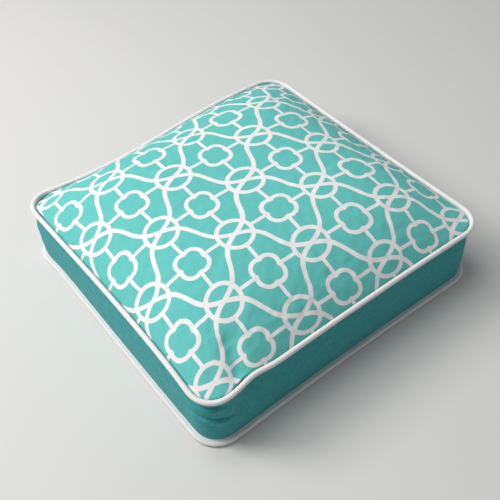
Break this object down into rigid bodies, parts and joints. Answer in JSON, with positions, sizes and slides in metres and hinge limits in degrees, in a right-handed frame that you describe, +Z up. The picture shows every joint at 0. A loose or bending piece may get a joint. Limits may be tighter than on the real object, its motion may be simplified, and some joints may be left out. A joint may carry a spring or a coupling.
{
  "type": "chair seat pad",
  "caption": "Square boxed seat pad with a crowned lattice-printed top, contrasting piping round both edges and a zip across the back boxing.",
  "frame": {"origin": "middle of the underside, on the surface that the pad rests on", "axes": "+Z up through the pad's thickness; X across the seat; +Y towards the chair's back, where the zip is"},
  "size_m": [0.49, 0.502, 0.1665],
  "materials": {
    "printed_cloth": "matte plain-weave outdoor cloth with an off-white lattice print",
    "plain_cloth": "matte slubbed plain-weave outdoor cloth",
    "piping_cloth": "matte bias-cut cloth",
    "piping_filler": "soft fibre cord",
    "zip_tape": "woven polyester tape",
    "zip_coil": "moulded nylon coil",
    "zip_metal": "enamelled zinc",
    "foam": "open-cell polyurethane foam",
    "wadding": "soft polyester wadding"
  },
  "bodies": {
    "root": {"top_panel": "printed_cloth", "bottom_panel": "plain_cloth", "boxing_band": "plain_cloth", "zip_boxing_upper": "plain_cloth", "zip_boxing_lower": "plain_cloth", "top_piping_cover": "piping_cloth", "bottom_piping_cover": "piping_cloth", "top_piping_cord": "piping_filler", "bottom_piping_cord": "piping_filler", "zip_tape_upper": "zip_tape", "zip_tape_lower": "zip_tape", "zip_coil_upper": "zip_coil", "zip_coil_lower": "zip_coil", "zip_end_stops": "zip_metal", "foam_core": "foam", "foam_crown_pad": "foam", "batting_top": "wadding", "batting_bottom": "wadding"},
    "zip_slider": {"zip_slider": "zip_metal"},
    "zip_pull": {"zip_pull": "zip_metal"}
  },
  "joints": [
    {"name": "zip_travel", "type": "slide", "parent": "root", "child": "zip_slider", "axis": [-1, 0, 0], "range_m": [0, 0.34]},
    {"name": "pull_swing", "type": "hinge", "parent": "zip_slider", "child": "zip_pull", "pos_m": [0.17, 0.24615, 0.056], "axis": [0, 0, -1], "range_deg": [0, 180]}
  ]
}
